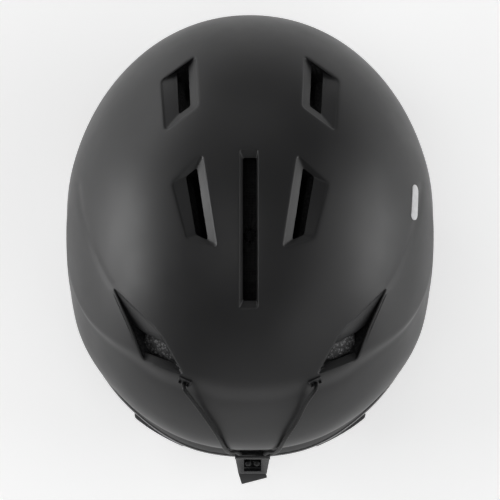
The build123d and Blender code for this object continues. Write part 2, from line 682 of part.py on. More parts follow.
# Assembly -----------------------------------------------------------------------------------
def main():
    os.makedirs("parts", exist_ok=True)
    write_node("outer_shell", make_shell())
    write_node("eps_liner", make_liner())
    write_node("rim_trim", make_trim())
    write_node("side_badge", make_badge())
    write_node("cord_eyelets", *slot_frames())
    for name, pad in make_pads().items():
        write_node(name, pad)
    write_node("pad_dots", *make_dots())
    for name, piece in (("ear_pad", make_ear_pad()), ("ear_fleece", make_ear_fleece()),
                        ("nape_pad", make_nape_pad()), ("temple_guide", make_guide()),
                        ("strap_front_leg", make_leg(*FRONT_LEG)),
                        ("strap_rear_leg", make_leg(*REAR_LEG)),
                        ("strap_divider", make_divider()), ("strap_rivet", make_rivet())):
        write_node(name + "_left", piece)
        write_node(name + "_right", mirrored(piece))
    write_node("ear_pad_snaps", *make_snaps())
    write_node("strap_anchors", *make_anchors())
    write_node("fit_housing", make_housing())
    write_node("fit_cover", make_cover())
    write_node("fit_click_ring", make_click_ring())
    write_node("fit_screw", make_dial_screw())
    write_node("fit_dial", make_dial())
    write_node("fit_band_left", make_band(BAND_MID_LEFT, 1, 1))
    write_node("fit_band_right", make_band(BAND_MID_RIGHT, -1, -1))
    write_node("cradle_strap", make_cradle())
    write_node("occiput_pads", *make_occiput_pads())
    write_node("chin_strap_long", webbing(STRAP_CORNERS[:6] + [along_buckle(-19.2)]))
    write_node("chin_strap_short", webbing([along_buckle(9.5)] + STRAP_CORNERS[6:]))
    write_node("chin_pad", make_chin_pad())
    for name, piece in make_buckle().items():
        write_node(name, piece)
    write_node("retainer_cord_left", make_cord(LEFT_CORD))
    write_node("retainer_cord_right", make_cord(RIGHT_CORD))
    for name, piece in make_clip().items():
        write_node(name, piece)
    write_node("cord_knots", *make_knots())


main()
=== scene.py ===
"""Ski helmet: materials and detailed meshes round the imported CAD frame. Lengths inside are in mm."""
import bpy
import bmesh
import json
import math
import numpy as np
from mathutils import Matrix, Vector
from mathutils.geometry import delaunay_2d_cdt


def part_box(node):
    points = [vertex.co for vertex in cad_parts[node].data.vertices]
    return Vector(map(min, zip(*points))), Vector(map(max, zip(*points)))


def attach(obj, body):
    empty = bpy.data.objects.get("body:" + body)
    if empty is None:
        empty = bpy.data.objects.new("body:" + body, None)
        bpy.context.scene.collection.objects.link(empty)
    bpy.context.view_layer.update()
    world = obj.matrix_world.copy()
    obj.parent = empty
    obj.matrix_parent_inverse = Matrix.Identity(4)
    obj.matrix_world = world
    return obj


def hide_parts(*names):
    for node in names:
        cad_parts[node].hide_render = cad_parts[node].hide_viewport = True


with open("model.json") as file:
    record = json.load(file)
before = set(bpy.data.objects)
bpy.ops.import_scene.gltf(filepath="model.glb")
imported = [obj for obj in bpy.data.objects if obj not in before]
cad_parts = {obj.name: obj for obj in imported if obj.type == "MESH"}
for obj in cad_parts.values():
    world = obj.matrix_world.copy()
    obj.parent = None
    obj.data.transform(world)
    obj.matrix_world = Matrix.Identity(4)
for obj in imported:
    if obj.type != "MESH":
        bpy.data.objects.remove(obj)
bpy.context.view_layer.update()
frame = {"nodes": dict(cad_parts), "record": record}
MM = 0.001
ROOT = "helmet"


def node_box(name):
    """Lowest and highest corner of a CAD node, in mm."""
    low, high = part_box(name)
    return np.array(low) / MM, np.array(high) / MM


# Driving dimensions of the helmet's surface, placed from the CAD shell
SHELL_LOW, SHELL_HIGH = node_box("outer_shell")
HALF_WIDTH = (SHELL_HIGH[0] - SHELL_LOW[0]) / 2
FRONT_LENGTH = 136.5
REAR_LENGTH = 137.3
FRONT_POWER = 2.05
REAR_POWER = 2.2
APEX_Z = 190.0
EQUATOR_Z = 78.0
DOME_HEIGHT = APEX_Z - EQUATOR_Z
CENTRE_Y = SHELL_LOW[1] + FRONT_LENGTH
SHELL_THICKNESS = 1.8
ARC_TO_EQUATOR = 180.0  # length of the flattened dome from its crown to its widest outline
TRIM_HEIGHT = 5.0

# Shapes at the back. A span is in degrees from straight behind: the shape is whole within its first
# number and gone beyond its second. Levels are heights above the table.
WAIST = 0.048  # fraction by which the shell is drawn in above its flared back edge
WAIST_SPAN = (25, 65)
WAIST_TOP = 124
WAIST_FOOT = (38, 58)
LIP_FLARE = 2.2  # the back edge turns out by this much
LIP_SPAN = (12, 34)
LIP_LEVELS = (42, 57)
RIDGE_LEVEL = 0.745  # of the dome's height, straight behind
RIDGE_FALLS = ((0.08, (15, 45)), (0.45, (38, 84)))  # how far it falls, and over which degrees
RIDGE_SPAN = (80, 112)
RIDGE_HEIGHT = 0.12
RIDGE_WIDTH = 5.0
RAMP_DEPTH = 2.7  # how far the shell is set in under the ridge
RAMP_START = (-3.0, 9)
RAMP_END = (14, 54)
CROWN_FADE = 20  # the ridge has no effect at the crown and its whole effect from here out


# Helmet surface
def step(low, high, value):
    """Smooth rise from 0 at low to 1 at high."""
    t = np.clip((value - low) / (high - low), 0.0, 1.0)
    return t * t * (3 - 2 * t)


def off_rear(angle):
    """Degrees between a direction and straight behind."""
    return np.abs(np.degrees(angle) - 90)


def plan_radius(angle):
    """Distance from the middle to the widest outline in a direction."""
    behind = np.sin(angle) >= 0
    length = np.where(behind, REAR_LENGTH, FRONT_LENGTH)
    power = np.where(behind, REAR_POWER, FRONT_POWER)
    across = np.abs(np.cos(angle)) / HALF_WIDTH
    along = np.abs(np.sin(angle)) / length
    return (across ** power + along ** power) ** (-1 / power)


def rear_waist(angle, z):
    """Fraction by which the shell is drawn in above its flared back edge."""
    share = 1 - step(*WAIST_SPAN, off_rear(angle))
    above = 1 - step(EQUATOR_Z, WAIST_TOP, z)
    below = step(*WAIST_FOOT, z)
    return share * WAIST * np.where(z >= EQUATOR_Z, above, below)


def crease(angle, z):
    """Ridge round the back of the head, like a horseshoe, with a ramp under it."""
    level = RIDGE_LEVEL
    for fall, span in RIDGE_FALLS:
        level = level - fall * step(*span, off_rear(angle))
    depth = EQUATOR_Z + DOME_HEIGHT * level - z
    ramp = step(*RAMP_START, depth) * (1 - step(*RAMP_END, depth))
    ridge = np.exp(-((depth + 2) / RIDGE_WIDTH) ** 2)
    strength = 1 - step(*RIDGE_SPAN, off_rear(angle))
    return strength * (RIDGE_HEIGHT * ridge - RAMP_DEPTH * ramp)


def surface(angle, rho):
    """Points on the shell; rho is the flattened distance from the crown."""
    angle = np.mod(np.asarray(angle, float) + math.pi / 2, 2 * math.pi) - math.pi / 2
    rho = np.asarray(rho, float)
    elevation = np.clip(1 - rho / ARC_TO_EQUATOR, 0.0, 1.0) * math.pi / 2
    below = np.maximum(rho - ARC_TO_EQUATOR, 0.0)
    z = EQUATOR_Z + DOME_HEIGHT * np.sin(elevation) - below
    fraction = np.maximum(np.cos(elevation) - rear_waist(angle, z), 0.0)
    radius = plan_radius(angle) * fraction + crease(angle, z) * np.minimum(1, rho / CROWN_FADE)
    behind = 1 - step(*LIP_SPAN, off_rear(angle))
    radius = radius + LIP_FLARE * behind * (1 - step(*LIP_LEVELS, z))
    return np.stack([radius * np.cos(angle), radius * np.sin(angle) + CENTRE_Y, z], axis=-1)


def surface_flat(points):
    """Points on the shell from flattened (u, v) points; v runs to the back."""
    points = np.asarray(points, float)
    rho = np.hypot(points[..., 0], points[..., 1])
    return surface(np.arctan2(points[..., 1], points[..., 0]), rho)


def normals_flat(points, delta=0.4):
    """Outward unit normals of the shell at flattened points."""
    points = np.asarray(points, float)
    du = surface_flat(points + [delta, 0]) - surface_flat(points - [delta, 0])
    dv = surface_flat(points + [0, delta]) - surface_flat(points - [0, delta])
    n = np.cross(du, dv)
    return n / np.linalg.norm(n, axis=-1, keepdims=True)


def flatten(places):
    """Flattened (u, v) of the shell points above plan points, by halving the distance out."""
    places = np.asarray(places, float)
    angle = np.arctan2(places[..., 1], places[..., 0])
    goal = np.hypot(places[..., 0], places[..., 1])
    low, high = np.zeros_like(goal), np.full_like(goal, ARC_TO_EQUATOR)
    for _ in range(36):
        middle = (low + high) / 2
        p = surface(angle, middle)
        nearer = np.hypot(p[..., 0], p[..., 1] - CENTRE_Y) < goal
        low, high = np.where(nearer, middle, low), np.where(nearer, high, middle)
    return np.stack([low * np.cos(angle), low * np.sin(angle)], axis=-1)


def flatten_below(places, depth):
    """Flattened points whose spots at a depth under the surface stand at plan points."""
    places = np.asarray(places, float)
    aim = places.copy()
    for _ in range(8):
        flat = flatten(aim)
        below = surface_flat(flat) - normals_flat(flat) * depth
        aim += places + [0, CENTRE_Y] - below[..., :2]
    return flatten(aim)


# Mesh helpers
def make_object(name, points, faces, material, body=ROOT, replaces=(), sharp=40):
    """Mesh object from points in mm, riding on a body."""
    mesh = bpy.data.meshes.new(name)
    mesh.from_pydata([tuple(p) for p in np.asarray(points, float) * MM], [], [tuple(f) for f in faces])
    mesh.validate()
    mesh.update()
    obj = bpy.data.objects.new(name, mesh)
    bpy.context.scene.collection.objects.link(obj)
    finish_object(obj, material, body, replaces, sharp)
    return obj


def finish_object(obj, material, body=ROOT, replaces=(), sharp=40):
    """Material, shading, body, slot and the CAD nodes that the object replaces."""
    obj.data.materials.clear()
    obj.data.materials.append(material)
    obj.data.polygons.foreach_set("use_smooth", [True] * len(obj.data.polygons))
    obj.data.set_sharp_from_angle(angle=math.radians(sharp))
    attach(obj, body)
    if replaces:
        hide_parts(*replaces)


def apply_modifiers(obj):
    """Replaces the object's mesh by what its modifiers make of it."""
    bpy.context.view_layer.update()
    evaluated = obj.evaluated_get(bpy.context.evaluated_depsgraph_get())
    mesh = bpy.data.meshes.new_from_object(evaluated)
    obj.modifiers.clear()
    obj.data = mesh


def edit_mesh(obj, operation, parts, **settings):
    """Runs a bmesh operation on the verts, edges or faces of an object's whole mesh."""
    bm = bmesh.new()
    bm.from_mesh(obj.data)
    operation(bm, **{part: getattr(bm, part) for part in parts}, **settings)
    bm.to_mesh(obj.data)
    bm.free()


def recalculate(obj):
    """Makes every face look outwards."""
    edit_mesh(obj, bmesh.ops.recalc_face_normals, ["faces"])


def thicken(obj, thickness, offset):
    """Gives a skin its thickness: offset -1 puts it all inside, 0 half on either side."""
    thick = obj.modifiers.new("thickness", "SOLIDIFY")
    thick.thickness = thickness * MM
    thick.offset = offset
    apply_modifiers(obj)


def bend_point(start, corner, end, t):
    """Point at share t of the curve that rounds a corner."""
    return (1 - t) ** 2 * start + 2 * t * (1 - t) * corner + t * t * end


BEND_SHARE = 0.45  # the most of a side that the bend at one of its ends takes up


def corner_bends(corners, radius):
    """Start, corner and end of the bend at each corner of a closed outline."""
    corners = [np.array(c, float) for c in corners]
    bends = []
    for before, corner, after in zip(corners[-1:] + corners[:-1], corners, corners[1:] + corners[:1]):
        to_before = np.linalg.norm(before - corner)
        to_after = np.linalg.norm(after - corner)
        reach = min(radius, BEND_SHARE * to_before, BEND_SHARE * to_after)
        bends.append((corner + (before - corner) / to_before * reach, corner,
                      corner + (after - corner) / to_after * reach))
    return bends


def run_counts(bends, spacing, least):
    """How many steps divide the straight run from each bend to the next."""
    return [max(least, int(round(np.linalg.norm(after[0] - bend[2]) / spacing)))
            for bend, after in zip(bends, bends[1:] + bends[:1])]


def bent_loop(bends, counts, per_corner):
    """Closed outline round its bends, with the runs between them divided as counts says."""
    points = []
    for bend, after, count in zip(bends, bends[1:] + bends[:1], counts):
        points += [bend_point(*bend, k / per_corner) for k in range(per_corner + 1)]
        points += [bend[2] + (after[0] - bend[2]) * (k / count) for k in range(1, count)]
    return np.array(points)


def rounded_outline(corners, radius, per_corner, spacing):
    """Closed outline with each corner rounded."""
    bends = corner_bends(corners, radius)
    return bent_loop(bends, run_counts(bends, spacing, 2), per_corner)


def paired_outlines(outer, inner, outer_radius, inner_radius, per_corner=6, spacing=1.6):
    """The same number of points round two outlines with matching corners."""
    bends = corner_bends(outer, outer_radius)
    counts = run_counts(bends, spacing, 3)
    return (bent_loop(bends, counts, per_corner),
            bent_loop(corner_bends(inner, inner_radius), counts, per_corner))


def outward(loop):
    """Unit directions that point out of a closed loop at each of its points."""
    along = np.roll(loop, -1, axis=0) - np.roll(loop, 1, axis=0)
    along /= np.linalg.norm(along, axis=1, keepdims=True)
    turned = np.stack([along[:, 1], -along[:, 0]], axis=1)
    area = np.sum(loop[:, 0] * np.roll(loop[:, 1], -1) - np.roll(loop[:, 0], -1) * loop[:, 1])
    return turned * np.sign(area)


def inside_loop(points, loop):
    """Which of the points lie inside a closed loop."""
    inside = np.zeros(len(points), bool)
    x, y = points[:, 0], points[:, 1]
    for (x0, y0), (x1, y1) in zip(loop, np.roll(loop, -1, axis=0)):
        if y0 == y1:
            continue
        crosses = (y0 > y) != (y1 > y)
        inside ^= crosses & (x < (x1 - x0) * (y - y0) / (y1 - y0) + x0)
    return inside


def stitch(loop_a, loop_b):
    """Quads between two index loops of the same length."""
    n = len(loop_a)
    return [(loop_a[i], loop_a[(i + 1) % n], loop_b[(i + 1) % n], loop_b[i]) for i in range(n)]


class Rings:
    """Skin that grows ring by ring, perhaps from points and faces that are there already."""

    def __init__(self, points=None, faces=()):
        self.points = [] if points is None else [points]
        self.faces = list(faces)
        self.total = 0 if points is None else len(points)
        self.last = None

    def add(self, ring):
        """Joins a ring to the last one and makes it the last."""
        indices = list(range(self.total, self.total + len(ring)))
        if self.last:
            self.faces += stitch(self.last, indices)
        self.points.append(ring)
        self.total += len(ring)
        self.last = indices

    def cap(self):
        """Closes both ends of a skin that began with its first ring."""
        self.faces += [tuple(self.last), tuple(reversed(range(len(self.last))))]


# Rim line
RIM_LINE = [(-160, 73), (-112, 71), (-78, 63), (-45, 54), (0, 49), (50, 45), (90, 40.5), (122, 38), (160, 38)]


def rim_z(y):
    """Level of the rim at a plan distance y behind the shell's middle: a smooth line through RIM_LINE."""
    ys = np.array([p[0] for p in RIM_LINE], float)
    zs = np.array([p[1] for p in RIM_LINE], float)
    slopes = np.gradient(zs, ys)
    y = np.clip(y, ys[0], ys[-1])
    k = np.clip(np.searchsorted(ys, y) - 1, 0, len(ys) - 2)
    h = ys[k + 1] - ys[k]
    t = (y - ys[k]) / h
    return ((2 * t**3 - 3 * t**2 + 1) * zs[k] + (t**3 - 2 * t**2 + t) * h * slopes[k]
            + (-2 * t**3 + 3 * t**2) * zs[k + 1] + (t**3 - t**2) * h * slopes[k + 1])


def rim_distance(angle, rise):
    """Flattened distance from the crown to the rim's line raised by rise, in a direction."""
    z = 50.0
    for _ in range(12):
        p = surface(angle, ARC_TO_EQUATOR + EQUATOR_Z - z)
        z = float(rim_z(p[1] - CENTRE_Y)) + rise
    return ARC_TO_EQUATOR + EQUATOR_Z - z


# Vents: recess and hole outlines of the left side in plan, measured from the shell's middle -----
SLOT = dict(outer=[(6.0, -50.0), (-4.6, -50.0), (-4.6, 42.5), (6.0, 42.5)],
            inner=[(4.1, -45.2), (-3.8, -45.2), (-3.8, 38.4), (4.1, 38.4)],
            depth=3.0, corner=1.4, hole_corner=1.2, lip=0.8)
SIDE_VENTS = [
    dict(outer=[(53.2, -92.9), (32.9, -107.4), (31.0, -76.2), (50.1, -62.1)],
         inner=[(43.8, -97.5), (36.9, -102.3), (35.3, -76.4), (42.1, -71.6)],
         depth=3.4, corner=2.4, hole_corner=1.2, lip=2.0),
    dict(outer=[(45.7, -30.5), (28.1, -46.9), (19.5, 7.0), (37.3, 1.7)],
         inner=[(37.6, -34.2), (31.1, -39.5), (24.6, 2.8), (31.6, -0.1)],
         depth=3.0, corner=2.4, hole_corner=1.4, lip=2.0),
    dict(outer=[(81.3, 31.3), (57.2, 53.5), (52.2, 60.0), (39.9, 82.3), (63.6, 74.1), (70.6, 55.4)],
         inner=[(72.6, 50.4), (62.8, 57.6), (50.0, 64.2), (43.4, 76.6), (63.4, 69.2), (68.4, 59.6)],
         depth=4.6, corner=2.2, hole_corner=1.0, lip=1.2),
]
# A vent's skin in rings. Lip: share of the way from its rounded edge to the recess, and drop for a
# recess 6 mm deep. Throat: step inwards and drop below the hole; it ends inside the liner.
LIP_RINGS = ((0.3, 0.05), (0.6, 0.2), (0.85, 0.42))
RECESS_EDGE_DROP = 0.7
RECESS_SHARES = (0.0, 0.08, 0.2, 0.35, 0.5, 0.65, 0.8, 0.92, 1.0)
THROAT_RINGS = ((-0.05, 0.35), (-0.1, 1.2), (-0.1, 4.0), (-0.1, 8.0), (0.0, 18.0))


def mirrored(corners, side):
    """Plan corners on the side asked for, still running the same way round."""
    return [(x * side, y) for x, y in corners][::side]


def vent_list():
    """Every vent: the slot, then each side vent on the left and on the right."""
    vents = [SLOT]
    for vent in SIDE_VENTS:
        for side in (1, -1):
            vents.append(dict(vent, outer=mirrored(vent["outer"], side), inner=mirrored(vent["inner"], side)))
    return vents


SIDE_SEAM = [(104.2, -30.7), (102.2, -17.8), (98.4, -3.3), (94.2, 7.5), (86.3, 23.9), (82.4, 29.6)]
SEAM_DEPTH = 0.45
SEAM_WIDTH = 1.9
SEAM_FOOT = 105  # the seam runs only above this level


def pressed_seam(points):
    """Faint crease pressed into both sides of the shell, from beside the ears to the rear vents."""
    plan = np.stack([np.abs(points[:, 0]), points[:, 1] - CENTRE_Y], axis=1)
    nearest = np.full(len(points), np.inf)
    for start, end in zip(SIDE_SEAM, SIDE_SEAM[1:]):
        start, run = np.array(start), np.array(end) - np.array(start)
        share = np.clip((plan - start) @ run / (run @ run), 0, 1)[:, None]
        nearest = np.minimum(nearest, np.linalg.norm(plan - start - run * share, axis=1))
    depth = SEAM_DEPTH * np.exp(-(nearest / SEAM_WIDTH) ** 2) * (points[:, 2] > SEAM_FOOT)
    inward = np.array([0, CENTRE_Y, EQUATOR_Z]) - points
    inward /= np.linalg.norm(inward, axis=1, keepdims=True)
    return points + inward * depth[:, None]


GRID_SPACING = 1.9
GRID_REACH = 215  # the flattened shell fits in a square that reaches this far each way
GRID_ROW = GRID_SPACING * 0.866  # even triangles
RIM_POINTS = 640
RIM_OVERLAP = 1.2  # of the edging over the shell
VENT_MARGIN = 1.4  # bare strip round each vent's lip


def flattened_grid():
    """Even triangle grid over the whole flattened shell."""
    grid = []
    for row in range(int(2 * GRID_REACH / GRID_ROW) + 2):
        v = -GRID_REACH + row * GRID_ROW
        shift = (row % 2) * GRID_SPACING / 2
        grid += [(u, v) for u in np.arange(-GRID_REACH + shift, GRID_REACH, GRID_SPACING)]
    return np.array(grid)


def shell_sheet(rim, lips, grid):
    """Flattened points and triangles inside the rim and outside every lip, and the index loop of each."""
    flat = np.concatenate([grid, rim, *lips])
    loops = []
    start = len(grid)
    for loop in (rim, *lips):
        loops.append(list(range(start, start + len(loop))))
        start += len(loop)
    constraints = [(loop[i], loop[(i + 1) % len(loop)]) for loop in loops for i in range(len(loop))]
    corners = [Vector(p) for p in flat.tolist()]
    verts, _, faces, origin, _, _ = delaunay_2d_cdt(corners, constraints, [], 0, 1e-4)
    where = {old[0]: new for new, old in enumerate(origin) if old}
    flat = np.array([tuple(v) for v in verts])
    loops = [[where[i] for i in loop] for loop in loops]
    triangles = np.array([f for f in faces if len(f) == 3])
    middles = flat[triangles].mean(axis=1)
    good = inside_loop(middles, flat[loops[0]])
    for loop in loops[1:]:
        good &= ~inside_loop(middles, flat[loop])
    return flat, [tuple(t) for t in triangles[good]], loops[1:]


def add_vent(skin, lip, mouth, hole, depth):
    """Rounded lip, sloping recess and upright throat of one vent."""
    for share, drop in LIP_RINGS:
        place = lip + (mouth - lip) * share
        skin.add(surface_flat(place) - normals_flat(place) * drop * min(1.0, depth / 6.0))
    for share in RECESS_SHARES:
        place = mouth + (hole - mouth) * share
        down = RECESS_EDGE_DROP + (depth - RECESS_EDGE_DROP) * share
        edge = surface_flat(place) - normals_flat(place) * down
        skin.add(edge)
    inward = (edge.mean(axis=0) - edge) * [1, 1, 0]
    inward /= np.linalg.norm(inward, axis=1, keepdims=True)
    for inset, drop in THROAT_RINGS:
        skin.add(edge + inward * inset - [0, 0, drop])


def build_shell(material):
    """Outer shell: a triangulated dome with every vent's recess, wall and hole edge modelled."""
    grid = flattened_grid()
    rim_angles = np.linspace(0, 2 * math.pi, RIM_POINTS, endpoint=False)
    rim_rho = np.array([rim_distance(a, TRIM_HEIGHT - RIM_OVERLAP) for a in rim_angles])
    rim = np.stack([rim_rho * np.cos(rim_angles), rim_rho * np.sin(rim_angles)], axis=1)
    angles = np.mod(np.arctan2(grid[:, 1], grid[:, 0]), 2 * math.pi)
    limit = np.interp(angles, np.append(rim_angles, 2 * math.pi), np.append(rim_rho, rim_rho[0]))
    keep = np.hypot(grid[:, 0], grid[:, 1]) < limit - GRID_SPACING * 0.7
    edges = []
    for vent in vent_list():
        mouth, hole = paired_outlines(vent["outer"], vent["inner"], vent["corner"], vent["hole_corner"])
        mouth, hole = flatten(mouth), flatten_below(hole, vent["depth"])
        middle = mouth.mean(axis=0)
        lip = mouth + outward(mouth) * vent["lip"]
        edges.append((lip, mouth, hole, vent["depth"]))
        away = np.linalg.norm(lip - middle, axis=1, keepdims=True)
        grown = middle + (lip - middle) * (1 + VENT_MARGIN / away)
        near = np.all(np.abs(grid - middle) < np.abs(lip - middle).max() + 6, axis=1) & keep
        index = np.where(near)[0]
        keep[index[inside_loop(grid[index], grown)]] = False
    flat, faces, loops = shell_sheet(rim, [edge[0] for edge in edges], grid[keep])
    skin = Rings(surface_flat(flat), faces)
    for edge, loop in zip(edges, loops):
        skin.last = loop
        add_vent(skin, *edge)
    points = pressed_seam(np.concatenate(skin.points))
    obj = make_object("shell", points, skin.faces, material, replaces=["outer_shell"])
    recalculate(obj)
    thicken(obj, SHELL_THICKNESS, -1)
    finish_object(obj, material, sharp=55)


# Materials
NOISE_SPAN = (0.3, 0.7)  # most of a noise texture's values lie in this range


class Surface:
    """A node material under construction: a Principled shader with textures in object space."""

    def __init__(self, name, color, roughness, **sockets):
        self.material = bpy.data.materials.new(name)
        self.material.use_nodes = True
        self.nodes = self.material.node_tree.nodes
        self.links = self.material.node_tree.links
        self.shader = self.nodes["Principled BSDF"]
        self.shader.inputs["Base Color"].default_value = (*color, 1.0)
        self.shader.inputs["Roughness"].default_value = roughness
        for socket, value in sockets.items():
            self.shader.inputs[socket.replace("_", " ")].default_value = value
        self.coordinates = self.nodes.new("ShaderNodeTexCoord").outputs["Object"]
        self.height = None

    def use_uv(self):
        """Lays the textures out on the UV map instead."""
        self.coordinates = self.nodes["Texture Coordinate"].outputs["UV"]
        return self

    def node(self, kind, **inputs):
        """New shader node with its inputs set."""
        node = self.nodes.new("ShaderNode" + kind)
        for socket, value in inputs.items():
            node.inputs[socket.replace("_", " ")].default_value = value
        return node

    def noise(self, scale, detail=3.0, rough=0.5, stretch=None):
        node = self.node("TexNoise", Scale=scale, Detail=detail, Roughness=rough)
        self.links.new(self.stretched(stretch), node.inputs["Vector"])
        return node.outputs["Fac"]

    def stretched(self, stretch):
        if stretch is None:
            return self.coordinates
        mapping = self.node("Mapping", Scale=stretch)
        self.links.new(self.coordinates, mapping.inputs["Vector"])
        return mapping.outputs["Vector"]

    def cells(self, scale, feature="F1", randomness=1.0):
        node = self.node("TexVoronoi", Scale=scale, Randomness=randomness)
        node.feature = feature
        self.links.new(self.coordinates, node.inputs["Vector"])
        return node.outputs["Distance"]

    def bands(self, scale, direction, distortion):
        node = self.node("TexWave", Scale=scale, Distortion=distortion)
        node.wave_type = "BANDS"
        node.bands_direction = direction
        self.links.new(self.coordinates, node.inputs["Vector"])
        return node.outputs["Fac"]

    def math(self, operation, a, b):
        node = self.node("Math")
        node.operation = operation
        for socket, value in zip(node.inputs, (a, b)):
            if isinstance(value, (int, float)):
                socket.default_value = value
            else:
                self.links.new(value, socket)
        return node.outputs["Value"]

    def color_by(self, value, dark, light, low=NOISE_SPAN[0], high=NOISE_SPAN[1]):
        ramp = self.node("ValToRGB")
        for stop, place, color in zip(ramp.color_ramp.elements, (low, high), (dark, light)):
            stop.position = place
            stop.color = (*color, 1)
        self.links.new(value, ramp.inputs["Fac"])
        self.links.new(ramp.outputs["Color"], self.shader.inputs["Base Color"])
        return self

    def roughness_by(self, value, low, high):
        low_noise, high_noise = NOISE_SPAN
        node = self.node("MapRange", From_Min=low_noise, From_Max=high_noise, To_Min=low, To_Max=high)
        self.links.new(value, node.inputs["Value"])
        self.links.new(node.outputs["Result"], self.shader.inputs["Roughness"])
        return self

    def bump(self, value, strength, distance):
        """Adds relief, distance in mm, on top of what is there already."""
        node = self.node("Bump", Strength=strength, Distance=distance * MM)
        self.links.new(value, node.inputs["Height"])
        if self.height is not None:
            self.links.new(self.height, node.inputs["Normal"])
        self.height = node.outputs["Normal"]
        self.links.new(self.height, self.shader.inputs["Normal"])
        return self


def grey(level, blue):
    """Grey whose blue is a little apart."""
    return level, level, blue


SHELL_GRAIN = 2600  # texture scales are repeats to the metre
BEADS = 640


def shell_material():
    s = Surface("matte_shell", grey(0.016, 0.017), 0.45, Specular_IOR_Level=0.44)
    s.color_by(s.noise(9, 4), grey(0.0145, 0.0152), grey(0.0185, 0.0192))
    s.roughness_by(s.noise(34, 5, 0.6), 0.40, 0.48)
    s.bump(s.noise(SHELL_GRAIN, 2), 0.10, 0.12)
    return s.bump(s.noise(420, 3), 0.035, 0.2).material


def foam_material(name, light, dark):
    """Beaded foam with painted shade: light in the middle of each bead and dark in the gaps between beads,
    with random tone.
    """
    s = Surface(name, light, 0.55)
    # painted shade between the beads from the bead cells, plus random tone from the noise
    bead_shade_and_tone = s.math("ADD", s.math("MULTIPLY", s.cells(BEADS), 0.9), s.noise(1500, 2))
    s.color_by(bead_shade_and_tone, light, dark, 0.4, 1.1)
    s.bump(s.cells(BEADS, "SMOOTH_F1"), 0.9, 0.6)
    return s.bump(s.noise(2600, 2), 0.2, 0.1).material


def plastic_material(name, color, rough_low, rough_high, grain=1400, depth=0.06):
    s = Surface(name, color, (rough_low + rough_high) / 2)
    light = tuple(c * 1.25 for c in color)
    s.color_by(s.noise(60, 4), color, light)
    s.roughness_by(s.noise(180, 4), rough_low, rough_high)
    return s.bump(s.noise(grain, 3), 0.22, depth).material


def fabric_material(name, dark, light, cell=620, nap=0.25):
    """Knitted mesh over foam: small dimples with a brushed nap, and painted shade in each dimple."""
    s = Surface(name, dark, 0.9, Sheen_Weight=0.12, Sheen_Roughness=0.5)
    knit = s.cells(cell, "F1", randomness=0.35)
    # painted shade: darker in the middle of each knit dimple, lighter on the knit between, with random tone
    # from the noise
    dimple_shade_and_tone = s.math("ADD", s.math("MULTIPLY", knit, 0.8), s.math("MULTIPLY", s.noise(90, 4), 0.4))
    s.color_by(dimple_shade_and_tone, dark, light, 0.2, 0.75)
    s.roughness_by(s.noise(300, 3), 0.82, 0.95)
    s.bump(knit, 0.55, 0.35)
    return s.bump(s.noise(2200, 3, 0.7), nap, 0.2).material


def fleece_material():
    s = Surface("fleece", grey(0.03, 0.032), 1.0, Sheen_Weight=0.22, Sheen_Roughness=0.6)
    s.color_by(s.noise(520, 6, 0.75), grey(0.012, 0.013), grey(0.05, 0.053))
    s.bump(s.noise(650, 6, 0.75), 0.8, 0.9)
    return s.bump(s.noise(2800, 4, 0.8), 0.5, 0.3).material


def webbing_material():
    """Ribbed twill with painted shade in the grooves of its weave; u runs along the strap and v across it,
    both in metres.
    """
    s = Surface("webbing", grey(0.02, 0.022), 0.75, Sheen_Weight=0.25, Sheen_Roughness=0.4).use_uv()
    along = s.bands(260, "X", 0.6)
    across = s.bands(420, "Y", 0.3)
    twill = s.bands(330, "DIAGONAL", 0.4)
    ribs = s.math("MAXIMUM", along, across)
    weave = s.math("MULTIPLY", ribs, s.math("ADD", s.math("MULTIPLY", twill, 0.6), 0.4))
    # painted shade: dark in the weave's grooves and light on its ribs, as in the relief
    s.color_by(weave, grey(0.009, 0.01), grey(0.04, 0.043), 0.15, 0.9)
    s.roughness_by(s.noise(400, 3), 0.65, 0.85)
    return s.bump(weave, 0.7, 0.28).material


def cord_material():
    """Braided elastic with painted shade between its strands; u runs along the cord and v round it, both in
    metres.
    """
    s = Surface("braided_elastic", grey(0.004, 0.0045), 0.5, Specular_IOR_Level=0.35).use_uv()
    strands = s.bands(420, "DIAGONAL", 0.2)
    # painted shade: dark between the strands and light on their tops, as in the relief
    s.color_by(strands, grey(0.0025, 0.0028), grey(0.008, 0.0088), 0.2, 0.8)
    return s.bump(strands, 0.5, 0.15).material


def metal_material():
    s = Surface("brushed_steel", grey(0.55, 0.56), 0.3, Metallic=1.0)
    s.roughness_by(s.noise(500, 3, stretch=(1, 1, 12)), 0.22, 0.4)
    return s.bump(s.noise(900, 2, stretch=(1, 1, 12)), 0.1, 0.05).material


def badge_material():
    s = Surface("badge_inlay", grey(0.6, 0.61), 0.32)
    s.color_by(s.noise(300, 2), grey(0.56, 0.57), grey(0.66, 0.67))
    return s.bump(s.noise(900, 2), 0.08, 0.05).material


def dial_material():
    s = Surface("dial_rubber", grey(0.022, 0.023), 0.6)
    s.color_by(s.noise(120, 4), grey(0.018, 0.019), grey(0.03, 0.031))
    s.roughness_by(s.noise(250, 3), 0.5, 0.7)
    return s.bump(s.noise(1900, 3), 0.35, 0.1).material


